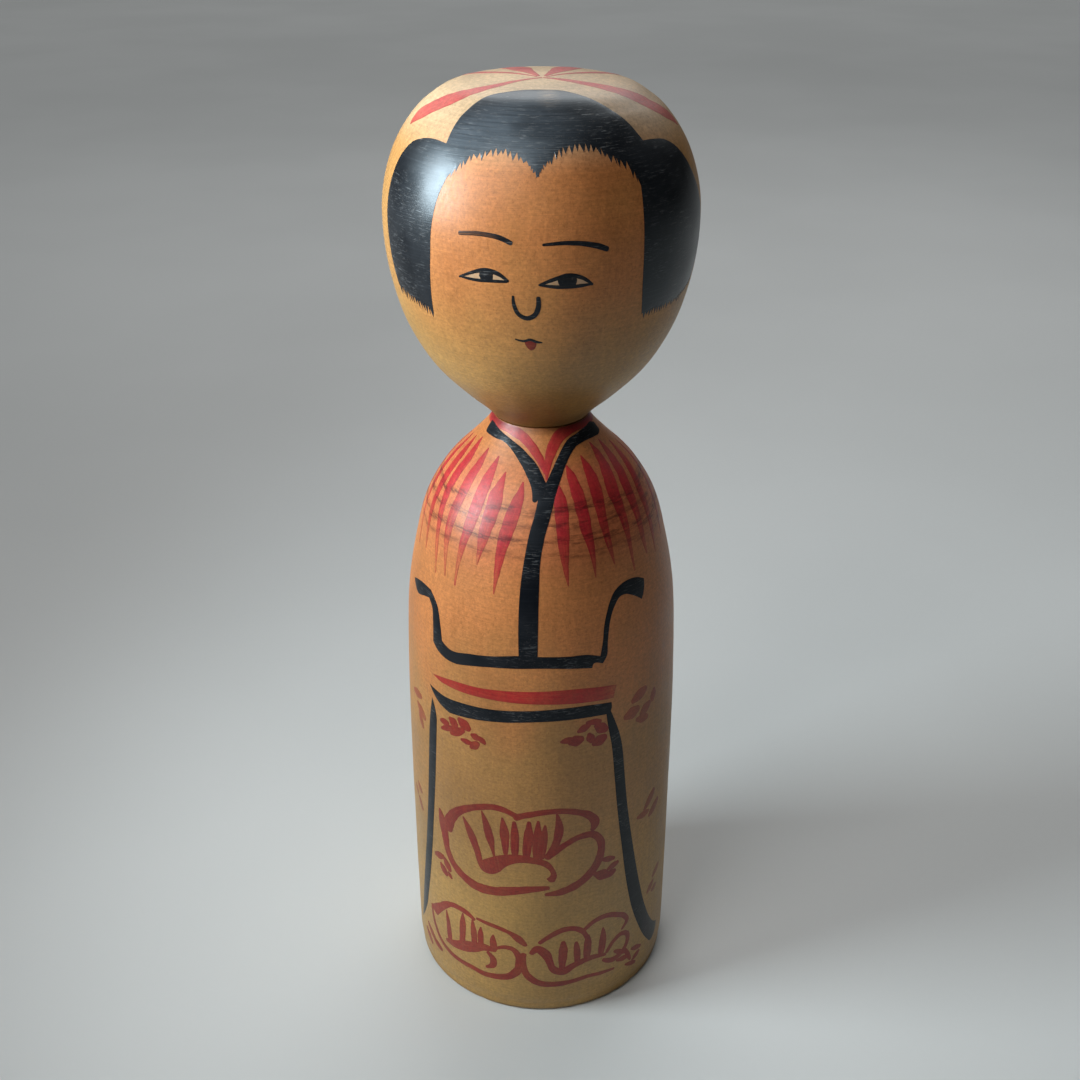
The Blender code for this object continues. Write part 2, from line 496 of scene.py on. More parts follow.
class Shader:
    """One material's node tree, built a node at a time. Lengths are millimetres in the row frame."""

    def __init__(self, name):
        self.material = bpy.data.materials.new(name)
        self.material.use_nodes = True
        self.tree = self.material.node_tree
        self.surface = self.tree.nodes["Principled BSDF"]
        coordinates = self.node("ShaderNodeTexCoord")
        scaled = self.node("ShaderNodeVectorMath", operation="SCALE")
        self.tree.links.new(coordinates.outputs["Object"], scaled.inputs[0])
        scaled.inputs["Scale"].default_value = 1 / MM
        self.place = scaled.outputs[0]
        apart = self.node("ShaderNodeSeparateXYZ")
        self.tree.links.new(self.place, apart.inputs[0])
        self.x, self.y, self.z = apart.outputs

    def node(self, kind, **settings):
        made = self.tree.nodes.new(kind)
        for key, value in settings.items():
            setattr(made, key, value)
        return made

    def feed(self, node, **inputs):
        """Set inputs by index (i0, i1 and so on) to a value or another node's output."""
        for key, value in inputs.items():
            socket = node.inputs[int(key[1:])]
            if isinstance(value, bpy.types.NodeSocket):
                self.tree.links.new(value, socket)
            else:
                socket.default_value = value
        return node

    def maths(self, operation, a, b=0.0, clamp=False):
        made = self.node("ShaderNodeMath", operation=operation, use_clamp=clamp)
        return self.feed(made, i0=a, i1=b).outputs[0]

    def plus(self, a, b):
        return self.maths("ADD", a, b)

    def minus(self, a, b):
        return self.maths("SUBTRACT", a, b)

    def times(self, a, b):
        return self.maths("MULTIPLY", a, b)

    def noise(self, scale, detail=2.0, roughness=0.5, shift=0.0, distortion=0.0, vector=None):
        """Noise from 0 to 1. Scale is how many features there are to a millimetre along x, y and z."""
        mapping = self.node("ShaderNodeMapping")
        self.feed(mapping, i0=vector or self.place, i1=(shift, shift * 0.7, shift * 1.3), i3=scale)
        made = self.node("ShaderNodeTexNoise", noise_dimensions="3D")
        self.tree.links.new(mapping.outputs[0], made.inputs["Vector"])
        made.inputs["Scale"].default_value = 1.0
        made.inputs["Detail"].default_value = detail
        made.inputs["Roughness"].default_value = roughness
        made.inputs["Distortion"].default_value = distortion
        return made.outputs[0]

    def span(self, value, low, high, to_low=0.0, to_high=1.0):
        """Smoothly from to_low at low, and below, to to_high at high, and above."""
        made = self.node("ShaderNodeMapRange", interpolation_type="SMOOTHSTEP")
        return self.feed(made, i0=value, i1=low, i2=high, i3=to_low, i4=to_high).outputs[0]

    def sway(self, value, amount):
        """A noise value turned into a factor around 1."""
        return self.plus(self.times(self.minus(value, 0.5), amount * 2), 1.0)

    def mix(self, share, a, b, blend="MIX"):
        made = self.node("ShaderNodeMix", data_type="RGBA", blend_type=blend)
        return self.feed(made, i0=share, i6=a, i7=b).outputs[2]

    def stain(self, colour, tint):
        return self.mix(1.0, colour, tint, "MULTIPLY")

    def shade(self, colour, factor):
        made = self.node("ShaderNodeVectorMath", operation="SCALE")
        self.feed(made, i0=colour)
        self.tree.links.new(factor, made.inputs["Scale"])
        return made.outputs[0]

    def attribute(self, name):
        return self.node("ShaderNodeAttribute", attribute_name=name).outputs["Fac"]

    def vector(self, x, y, z=0.0):
        return self.feed(self.node("ShaderNodeCombineXYZ"), i0=x, i1=y, i2=z).outputs[0]

    def finish(self, colour, roughness, height, bump_depth, slot):
        """Wire up the surface. Bump depth is the height, in millimetres, of a full swing of height."""
        bump = self.node("ShaderNodeBump")
        bump.inputs["Strength"].default_value = 1.0
        bump.inputs["Distance"].default_value = bump_depth * MM
        self.tree.links.new(height, bump.inputs["Height"])
        for socket, value in (("Base Color", colour), ("Roughness", roughness)):
            self.tree.links.new(value, self.surface.inputs[socket])
        self.tree.links.new(bump.outputs[0], self.surface.inputs["Normal"])
        return {"material": self.material, "slot": slot}


def grain_layers(shader, colour):
    """Fine-grained turned wood over a base colour: returns its colour, roughness and height."""
    fibre = shader.noise((1.9, 1.9, 0.26), detail=4.0, roughness=0.62)
    pores = shader.noise((3.1, 3.1, 1.9), detail=3.0, roughness=0.6, shift=11.0)
    fleck = shader.noise((1.1, 1.1, 1.5), detail=3.0, roughness=0.6, shift=15.0)
    mottle = shader.noise((0.060, 0.060, 0.035), detail=3.0, shift=5.0)
    turning = shader.noise((0.035, 0.035, 4.2), detail=3.0, roughness=0.65, shift=3.0)
    rings = growth_rings(shader)
    layers = ((fibre, 0.16), (mottle, 0.36), (turning, 0.22), (fleck, 0.44), (rings, 0.025))
    for layer, amount in layers:
        colour = shader.shade(colour, shader.sway(layer, amount))
    pore_share = shader.span(pores, 0.54, 0.72, 0.0, 0.50)
    colour = shader.mix(pore_share, colour, shader.stain(colour, PORE_STAIN))
    polish = shader.span(mottle, 0.3, 0.7, 0.40, 0.48)
    roughness = shader.plus(polish, shader.span(fibre, 0.3, 0.7, -0.04, 0.06))
    height = shader.plus(fibre, shader.times(turning, 0.9))
    height = shader.minus(height, shader.times(pore_share, 0.5))
    return colour, roughness, height


def growth_rings(shader):
    """Faint rings about a pith that lies off the turning axis."""
    mapping = shader.node("ShaderNodeMapping")
    shader.feed(mapping, i0=shader.place, i1=(9.0, 26.0, 0.0), i3=(1.0, 1.0, 0.04))
    waves = shader.node("ShaderNodeTexWave", wave_type="RINGS", rings_direction="Z", wave_profile="SAW")
    shader.tree.links.new(mapping.outputs[0], waves.inputs["Vector"])
    waves.inputs["Scale"].default_value = 0.14
    waves.inputs["Distortion"].default_value = 2.5
    waves.inputs["Detail"].default_value = 2.0
    waves.inputs["Detail Scale"].default_value = 0.15
    return waves.outputs["Fac"]


AMBER = (0.490, 0.178, 0.052, 1.0)
TAN = (0.370, 0.182, 0.053, 1.0)
STRAW = (0.430, 0.245, 0.070, 1.0)
PALE_STRAW = (0.600, 0.430, 0.260, 1.0)
BARE_WOOD = (0.640, 0.455, 0.262, 1.0)
PORE_STAIN = (0.52, 0.40, 0.34, 1.0)
GRIME_AND_SHADE_STAIN = (0.19, 0.14, 0.13, 1.0)
RUBBED_DYE = (1.0, 0.72, 1.0, 1.0)
POOLED_DYE = (0.16, 0.014, 0.014, 1.0)
DEEP_INK = (0.0050, 0.0060, 0.0085, 1.0)
DULL_INK = (0.011, 0.012, 0.015, 1.0)
# Painted sheen: the blue-grey that stands in for the window's reflection on the hair
PAINTED_SHEEN_INK = (0.085, 0.102, 0.120, 1.0)
SCRATCHED_INK = (0.145, 0.150, 0.155, 1.0)
SPECKED_INK = (0.115, 0.100, 0.085, 1.0)
PALE_PAINT = (0.50, 0.38, 0.25, 1.0)

# Rubbed dirt lines round the shoulders: height, how wide, and how strong
SHOULDER_GRIME = ((147.4, 1.3, 0.90), (144.2, 1.5, 0.80), (140.8, 1.4, 1.00), (137.6, 1.1, 0.60))


def body_layers(shader):
    # Yellower towards the foot: partly the wood's own tone, partly painted green bounce light from below
    skirt = shader.mix(shader.span(shader.z, 28.0, 76.0), STRAW, TAN)
    wander = shader.noise((0.05, 0.05, 0.03), detail=2.0, shift=21.0)
    upper = shader.span(shader.plus(shader.z, shader.span(wander, 0.2, 0.8, -14.0, 14.0)), 84.0, 122.0)
    colour, roughness, height = grain_layers(shader, shader.mix(upper, skirt, AMBER))
    pleated = shader.times(shader.span(shader.z, 128.0, 144.0), shader.span(shader.z, 158.0, 153.0))
    rubbed = shader.times(pleated, shader.span(wander, 0.3, 0.7, 0.25, 0.75))
    colour = shader.mix(rubbed, colour, shader.stain(colour, RUBBED_DYE))
    grime_and_shade_colour = shader.stain(colour, GRIME_AND_SHADE_STAIN)
    return shader.mix(body_grime_and_shade(shader), colour, grime_and_shade_colour), roughness, height


def body_grime_and_shade(shader):
    """Dirt in broken lines round the shoulders, darkening at the foot's lowest edge, and painted shade in
    the neck's crease under the head.
    """
    warp = shader.noise((0.05, 0.05, 0.0), detail=2.0, shift=31.0)
    warped = shader.plus(shader.z, shader.span(warp, 0.25, 0.75, -1.1, 1.1))
    narrow = shader.span(shader.x, -6.0, 12.0, 1.0, 0.6)
    total = shader.span(shader.z, 0.2, 1.8, 0.45, 0.0)
    # Painted shade in the crease where the head sits on the body
    crease = shader.span(shader.z, 160.6, 162.2, 0.0, 0.55)
    total = shader.plus(total, crease)
    for index, (level, width, strength) in enumerate(SHOULDER_GRIME):
        away = shader.maths("ABSOLUTE", shader.minus(warped, level))
        line = shader.span(shader.times(away, narrow), 0.0, width, strength, 0.0)
        broken = shader.noise((0.22, 0.22, 1.3), detail=5.0, roughness=0.75, shift=41.0 + 7 * index)
        line = shader.times(line, shader.span(broken, 0.40, 0.62))
        total = shader.plus(total, line)
    return shader.maths("MINIMUM", total, 0.8)


def head_layers(shader):
    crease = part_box("head")[0].z / MM
    above = shader.minus(shader.z, crease)
    tone = shader.span(above, 12.0, 46.0, 0.10, 1.0)
    tone = shader.times(tone, shader.span(shader.y, -30.0, -8.0, 1.0, 0.35))
    wander = shader.noise((0.05, 0.05, 0.04), detail=2.0, shift=51.0)
    tone = shader.times(tone, shader.span(wander, 0.25, 0.6, 0.7, 1.0))
    colour = shader.mix(tone, STRAW, AMBER)
    colour = shader.mix(shader.span(above, 62.0, 73.0, 0.0, 0.85), colour, PALE_STRAW)
    colour, roughness, height = grain_layers(shader, colour)
    # Painted shade under the head: darker towards its lowest edge, just above the crease
    chin_shade = shader.span(above, 0.3, 15.0, 0.50, 0.0)
    grime_and_shade_colour = shader.stain(colour, GRIME_AND_SHADE_STAIN)
    return shader.mix(chin_shade, colour, grime_and_shade_colour), roughness, height


def wood_finish(name, layers, slot):
    shader = Shader(name)
    colour, roughness, height = layers(shader)
    return shader.finish(colour, roughness, height, 0.014, slot)


def bare_wood_finish():
    shader = Shader("bare_peg_wood")
    wander = shader.noise((0.12, 0.12, 0.05), detail=2.0, shift=111.0)
    base = shader.mix(shader.span(wander, 0.3, 0.7), BARE_WOOD, PALE_STRAW)
    colour, roughness, height = grain_layers(shader, base)
    return shader.finish(colour, shader.plus(roughness, 0.18), height, 0.03, "peg_wood")


def bristles(shader, shift=0.0):
    """Streaks that the brush's hairs leave along each stroke."""
    track = shader.vector(shader.attribute("along"), shader.attribute("across"))
    return shader.noise((0.16, 4.2, 1.0), detail=3.0, roughness=0.6, shift=shift, vector=track)


def dye_finish(name, layers, dye, strength=1.0, pooling=0.28):
    """Translucent dye: the wood shows through, deeper where the dye pooled at a stroke's edge."""
    shader = Shader(name)
    wood, roughness, height = layers(shader)
    dyed = shader.stain(wood, dye)
    load = shader.attribute("load")
    streak = shader.span(bristles(shader), 0.30, 0.62, 0.84, 1.0)
    pool = shader.span(shader.attribute("inset"), 0.0, 0.45, 1.0, 0.0)
    blotch = shader.span(shader.noise((0.35, 0.35, 0.25), detail=3.0, shift=61.0), 0.3, 0.65, 0.92, 1.0)
    cover = shader.times(shader.maths("MAXIMUM", streak, pool), blotch)
    dryness = shader.minus(1.0, load)
    gaps = shader.times(dryness, shader.span(bristles(shader, 9.0), 0.35, 0.62, 0.0, 1.8))
    cover = shader.maths("SUBTRACT", cover, gaps, clamp=True)
    cover = shader.times(cover, strength)
    colour = shader.mix(cover, wood, dyed)
    deep = shader.mix(shader.times(pool, pooling), colour, POOLED_DYE)
    return shader.finish(deep, roughness, height, 0.014, "red_dye")


def ink_finish(name, layers, specular, thin=(0.030, 0.034, 0.042, 1.0), rubbed=None):
    """Black ink with a cool sheen: turning lines, clustered pale scratches, wood where it is thin, and
    where a mask is given, a painted blue-grey sheen.
    """
    shader = Shader(name)
    wood, _, wood_height = layers(shader)
    lines = shader.noise((0.05, 0.05, 4.0), detail=4.0, roughness=0.65, shift=71.0)
    scratches = shader.noise((0.42, 0.42, 6.0), detail=2.0, roughness=0.6, shift=81.0)
    clusters = shader.noise((0.07, 0.07, 0.12), detail=3.0, roughness=0.6, shift=85.0)
    dust = shader.noise((2.2, 2.2, 2.6), detail=2.0, roughness=0.6, shift=87.0)
    cloud = shader.noise((0.11, 0.11, 0.11), detail=3.0, shift=91.0)
    ink = shader.mix(shader.span(cloud, 0.3, 0.7), DEEP_INK, DULL_INK)
    ink = shader.mix(shader.span(lines, 0.50, 0.72, 0.0, 0.35), ink, thin)
    worn = shader.span(clusters, 0.37, 0.60)
    # Painted sheen: the mask mixes in a blue-grey ink colour for the window's reflection, and also gathers
    # the scratches
    if rubbed:
        painted_sheen = shader.times(rubbed(shader), shader.span(lines, 0.30, 0.62, 0.45, 1.0))
        ink = shader.mix(painted_sheen, ink, PAINTED_SHEEN_INK)
        worn = shader.maths("MAXIMUM", worn, rubbed(shader))
    scratch = shader.times(shader.span(scratches, 0.57, 0.70, 0.0, 0.75), worn)
    ink = shader.mix(scratch, ink, SCRATCHED_INK)
    speck = shader.times(shader.span(dust, 0.59, 0.73, 0.0, 0.50), worn)
    ink = shader.mix(speck, ink, SPECKED_INK)
    bristle = bristles(shader)
    dryness = shader.minus(1.0, shader.attribute("load"))
    bare = shader.times(dryness, shader.span(bristle, 0.38, 0.62, 0.0, 1.6))
    bare = shader.maths("MINIMUM", bare, 0.9)
    colour = shader.mix(bare, ink, wood)
    roughness = shader.span(cloud, 0.3, 0.7, 0.29, 0.37)
    roughness = shader.plus(roughness, shader.times(scratch, 0.15))
    height = shader.plus(shader.times(lines, 1.2), shader.times(bristle, 0.5))
    height = shader.plus(height, shader.times(wood_height, 0.3))
    shader.surface.inputs["Specular Tint"].default_value = (0.80, 0.92, 1.0, 1.0)
    shader.surface.inputs["Specular IOR Level"].default_value = specular
    return shader.finish(colour, roughness, height, 0.014, "black_ink")


def fringe_sheen_and_wear(shader):
    """A painted blue-grey sheen of the window's reflection on the hair above the forehead, most at the
    doll's right. The same mask gathers the ink's scratches there.
    """
    high = shader.span(shader.z, 217.0, 229.0)
    front = shader.span(shader.y, -16.0, -24.0)
    side = shader.span(shader.x, 17.0, -12.0, 0.12, 1.0)
    patchy = shader.span(shader.noise((0.10, 0.10, 0.16), detail=4.0, shift=95.0), 0.34, 0.60, 0.45, 0.85)
    share = shader.times(shader.times(high, front), side)
    return shader.times(share, patchy)


def pale_finish():
    """Thin pale paint in the whites of the eyes."""
    shader = Shader("pale_eye_paint")
    wood, roughness, height = head_layers(shader)
    patchy = shader.noise((0.9, 0.9, 0.9), detail=3.0, shift=101.0)
    colour = shader.mix(shader.span(patchy, 0.3, 0.7, 0.45, 0.75), wood, PALE_PAINT)
    return shader.finish(colour, roughness, height, 0.012, "pale_paint")


# -------- the head's marks


def paint_hair(chart, ink):
    rng = random.Random(5)
    dome = ((-40.5, 32.8), (-40.4, 29), (-39.2, 25), (-33.5, 19.6), (-22, 16.5), (-0.5, 15), (19.5, 16.8),
            (28, 20), (35, 23.5), (40, 27), (44.5, 32.4))
    right_outer = ((44.5, 32.4), (50.5, 32.6), (57, 33.2), (63.5, 35.2), (69, 38.8), (74, 44), (79, 51.4),
                   (79.5, 58.5), (74, 65))
    right_ends = ((74, 65), (63.5, 67.6), (49.5, 68.2), (39, 68.6))
    right_inner = ((39, 68.6), (37.3, 62.8), (36.5, 55), (36.5, 48.2), (37, 41))
    right_fringe = (
        (37, 41), (33.5, 37), (30, 35.6), (26.5, 34.6), (21.5, 32.8), (14, 32), (7.5, 32.8), (3, 34.6),
    )
    peak = ((3, 34.6), (0.8, 35.8), (-1.5, 37.9))
    peak_left = ((-1.5, 37.9), (-3.6, 36.2), (-5.5, 34.8))
    left_fringe = ((-5.5, 34.8), (-12.5, 33.2), (-20, 33.4), (-28, 35.2), (-35.5, 39.4))
    left_inner = ((-35.5, 39.4), (-38, 43.6), (-39.5, 48.4), (-40.6, 55.6), (-42, 62.8), (-43, 68.8))
    left_ends = ((-43, 68.8), (-47, 68), (-54, 66.8), (-64.5, 65.8))
    left_outer = ((-64.5, 65.8), (-67, 60), (-68.8, 52), (-69, 43.4), (-66, 37.4), (-61.5, 34.4),
                  (-55, 32.9), (-47.5, 32.4), (-40.5, 32.8))
    outline = joined(
        [
            smooth_run(chart, dome),
            smooth_run(chart, right_outer),
            toothed(chart, right_ends, 0.9, 1.5, rng),
            smooth_run(chart, right_inner),
            toothed(chart, right_fringe, 1.45, 1.8, rng),
            toothed(chart, peak, 1, 0.9, rng),
            toothed(chart, peak_left, 1, 0.9, rng),
            toothed(chart, left_fringe, 1.45, 1.8, rng),
            smooth_run(chart, left_inner),
            toothed(chart, left_ends, 1, 2.4, rng),
            smooth_run(chart, left_outer),
        ]
    )
    thin_patch = ((4.5, 17.8, 6, 0.76),)
    return film("hair", chart, [{"outline": outline}], ink, INK_FILM, 1, thin_patch)


def paint_face(chart, ink, dye, pale):
    brows = (
        ((-28, 49.8, 0.62, 0.85), (-20, 49.5, 0.68, 0.85), (-13.5, 50, 0.75), (-10, 50.9, 0.72)),
        ((0.5, 51.1, 0.40), (11, 50.9, 0.72), (17.5, 51.6, 0.85), (22, 52.6, 0.85)),
    )
    film("eyebrows", chart, strokes(chart, brows, 3, 1.35), ink, FACE_INK_FILM, 0.5)
    whites = (
        patch(
            chart,
            ((-23.5, 57.4), (-18.5, 56.8), (-13.8, 57.8), (-11.8, 58.7)),
            ((-17, 58.9), (-23, 59), (-28, 58.7)),
        ),
        patch(
            chart,
            ((4, 58.2), (9, 57.5), (13.2, 58), (16.6, 59.5)),
            ((13, 59.8), (9, 59.9), (4.5, 59.8), (-0.3, 59.3)),
        ),
    )
    film("eye_whites", chart, whites, pale, THIN_FILM, 0.5)
    lids = (
        ((-28.6, 58.9, 0.25), (-24, 57.7, 0.45), (-18.8, 56.8, 0.60), (-14.4, 57.4, 0.55),
         (-11.2, 58.8, 0.35)),
        ((-28.2, 58.8, 0.25), (-23, 59.1, 0.42), (-17, 59, 0.42), (-11.6, 58.9, 0.32)),
        ((-0.8, 59.4, 0.25), (3.5, 58.4, 0.50), (9, 57.5, 0.62), (13.1, 58, 0.55), (17.2, 59.7, 0.32)),
        ((-0.6, 59.4, 0.28), (4.5, 59.8, 0.48), (9, 59.9, 0.50), (13.1, 59.8, 0.48), (16.8, 59.6, 0.30)),
    )
    film("eye_lines", chart, strokes(chart, lids, 12, 1.65), ink, LID_FILM, 0.5)
    irises = (
        patch(
            chart,
            ((-18.6, 56.8), (-16.3, 57.1)),
            ((-16, 58.1), (-16.8, 59)),
            ((-18.6, 59.1), (-20.4, 59)),
            ((-21.3, 58.1), (-21, 57.2)),
        ),
        patch(
            chart,
            ((8.6, 57.4), (11.6, 57.6)),
            ((12, 58.8), (11.2, 59.9)),
            ((8.8, 60.1), (6.3, 59.9)),
            ((5.2, 58.8), (5.7, 57.8)),
        ),
    )
    film("irises", chart, irises, ink, IRIS_FILM, 0.4)
    nose = ((-9.6, 62, 0.40), (-9.4, 63.9, 0.70), (-7.8, 66.1, 0.85), (-4.9, 66.9, 0.90),
            (-2.3, 66.1, 0.92), (-1.1, 64.4, 0.90), (-1.1, 62.2, 0.75))
    film("nose", chart, [stroke(chart, nose, 21, 1.15)], ink, FACE_INK_FILM, 0.5)
    mouth = ((-9.6, 72.1, 0.22), (-6.4, 72.5, 0.42), (-4, 72.1, 0.42), (-2, 72.6, 0.46), (0.2, 72.8, 0.2))
    film("mouth", chart, [stroke(chart, mouth, 22, 1.4)], ink, FACE_INK_FILM, 0.4)
    lip = patch(
        chart,
        ((-4, 72.4), (-1.8, 72.7)),
        ((-2, 73.7), (-2.6, 74.5)),
        ((-3.8, 74.9), (-5, 74.4)),
        ((-5.9, 73.5), (-6.3, 72.5)),
    )
    film("lower_lip", chart, [lip], dye, DYE_FILM, 0.5)


def paint_crown(chart, dye):
    """Ribbons that meet a little in front of the crown's middle: two forward, four to the back.

    Their marks are x and y in plan, and the width.
    """
    ribbons = (
        ((0, -6.5, 0.4), (-5, -8.4, 0.9), (-10, -10.9, 1.8), (-16, -12.4, 2.8), (-22, -10.6, 3),
         (-26.4, -7.4, 2.2)),
        ((0.5, -6.5, 0.4), (5, -7.8, 1.2), (10, -9.4, 2), (17, -10.6, 2.9), (23, -9, 2.8), (28.3, -4, 1.4)),
        ((-0.6, -5, 0.5), (-2.6, -0.5, 1.7), (-4, 3, 2.9), (-5.4, 8, 3.3), (-7.2, 15, 3), (-8.4, 22, 1.3)),
        ((0.8, -5, 0.5), (2.8, -0.5, 1.8), (4.2, 3, 3), (5.6, 8, 3.4), (7.4, 15, 3), (8.6, 22, 1.3)),
        ((-1, -5.6, 0.3), (-5, -2, 0.6), (-10, 2.5, 1.1), (-15, 8, 1.5), (-19, 13, 0.8)),
        ((1.2, -5.6, 0.3), (5.2, -2.2, 0.6), (10.2, 2.2, 1.1), (15.2, 7.6, 1.5), (19.4, 12.4, 0.8)),
    )
    film("crown_ribbons", chart, strokes(chart, ribbons, 31, 1.4), dye, DYE_FILM, 1)


# -------- the body's marks


def paint_red_collar(chart, dye):
    """Two strokes that cross below the chin and meet at the back of the neck."""
    left = ((2.6, 154.2, 0.5), (0.3, 156, 1.3), (-5.5, 158, 1.7), (-15.5, 160, 1.9), (-36, 161.5, 1.9),
            (-72, 161.4, 1.6), (-120, 161.4, 1.3), (-179, 161.3, 1.2))
    right = ((3.6, 153.2, 0.4), (5.6, 156, 1.4), (10, 158.4, 2), (17.5, 160.3, 2.2), (31, 161.5, 2),
             (69, 161.4, 1.5), (120, 161.4, 1.3), (179, 161.3, 1.2))
    film("red_collar", chart, strokes(chart, (left, right), 41, 1.25), dye, THIN_FILM, 0.8)


def paint_robe_lines(chart, ink):
    collar = patch(
        chart,
        ((-68, 161.3), (-75, 160.8), (-73.5, 159.6), (-66, 158.9)),
        ((-52, 158.9), (-37.5, 158.8), (-22, 156.9), (-11, 154), (-6, 151.4), (-5.2, 149.4)),
        ((-3.6, 149.1), (-2, 149.6)),
        ((-3.7, 146.5), (-5.6, 143.5), (-7.4, 138.5), (-9, 131), (-9.4, 122), (-9, 112.6)),
        ((-5, 112.4), (-1.5, 112.6)),
        ((-1.3, 121), (-1, 130), (0, 138.6), (1.8, 142.6), (4.6, 146.2), (8, 150)),
        ((12, 152.5), (19.5, 155.5), (32, 158), (45, 158.6), (61, 158.5), (72, 158.3), (79.5, 158.6)),
        ((81, 159.8), (75, 160.8), (62, 161)),
        ((41.5, 160.5), (25, 159.4), (16, 157.5), (9, 155.2), (3, 152.6)),
        ((-2.5, 155.4), (-13, 157.7), (-31, 159.6), (-46, 160.4), (-60.5, 161)),
    )
    sleeves = patch(
        chart,
        ((-66, 119.8), (-59, 120.8), (-55.5, 121.3)),
        ((-52.6, 119.6), (-51.2, 116), (-50.6, 110.8)),
        ((-48, 109.3), (-42.5, 108), (-36.5, 107.9)),
        ((-21.5, 109.8), (-9, 110.6), (0.5, 110.9), (12, 110.4), (20.8, 109.7)),
        ((21.3, 110.7), (25.4, 110.3)),
        ((27, 111.6), (28, 116), (29.6, 121), (32, 124), (35.5, 126), (39, 126)),
        ((43, 124.8), (47.5, 122.9)),
        ((49.6, 125), (50.6, 127.5)),
        ((46, 128.8), (41, 129.2), (36.5, 128.8), (32.5, 127.5), (29.5, 125)),
        ((27, 121), (25.5, 115.5), (24.4, 112.4)),
        ((18.8, 113.5), (11.5, 113.7), (-1.5, 114), (-9, 114), (-18.5, 113.1)),
        ((-29.5, 112.1), (-41.5, 111.3), (-45, 112.4)),
        ((-46.2, 116), (-49.5, 121), (-55, 123.5)),
        ((-64, 123.4), (-72.5, 122)),
    )
    film("collar_and_sleeve_lines", chart, [collar, sleeves], ink, INK_FILM, 1)


def paint_sash(chart, ink, dye):
    red = patch(
        chart,
        ((-38.5, 102.8), (-26.5, 103.4), (-14, 104.1), (0.5, 104.6), (15, 104.6), (25, 103.9), (32, 103.2)),
        ((31, 101.4), (30.5, 99.8)),
        ((15, 100.6), (0.5, 101), (-11, 101), (-22.5, 100.9), (-34.5, 100.6), (-44.5, 100.6)),
        ((-48, 100.9), (-51, 101.4)),
    )
    dry_ends = ((33, 101.5, 6, 0.55), (-52, 101.4, 3, 0.7))
    film("red_sash", chart, [red], dye, SASH_FILM, 1, dry_ends)
    black = patch(
        chart,
        ((-43, 97), (-33.5, 97.5), (-21.5, 98.1), (-6.5, 99), (8, 99.6), (19.5, 99.5), (29.5, 98.7)),
        ((29.6, 97), (28.5, 95.6)),
        ((19, 96.1), (8, 96.2), (-2, 96), (-16.5, 95), (-29.5, 93.9), (-40.5, 93)),
        ((-47.5, 94.5), (-51, 96.2), (-53, 97.7)),
    )
    apron_left = patch(
        chart,
        ((-53.4, 88), (-55.5, 74), (-58.5, 56), (-63, 39), (-69, 22), (-73, 11.5)),
        ((-68.5, 15.5), (-64, 21)),
        ((-58.8, 34), (-53.6, 55), (-50, 76), (-48.6, 88.5)),
        ((-49.5, 91.5), (-51.6, 94.2)),
    )
    apron_right = patch(
        chart,
        ((27.8, 93), (30, 85.5), (31.6, 76), (33.6, 65), (36.5, 52.5), (40.5, 37.5), (44, 28.5), (48.5, 21),
         (54.5, 13.5), (60, 8.9)),
        ((63, 8.5), (66.5, 9.9), (67.3, 12.7)),
        ((62.5, 15.2), (58.5, 18.8), (54, 24.8), (48, 37), (42.6, 52), (38.7, 66), (36.3, 78.5)),
        ((34, 88), (31, 93.5), (28.6, 97.2)),
        ((27.8, 97.1), (27, 96.8)),
    )
    film("sash_and_apron_lines", chart, [black, apron_left, apron_right], ink, INK_FILM, 1)


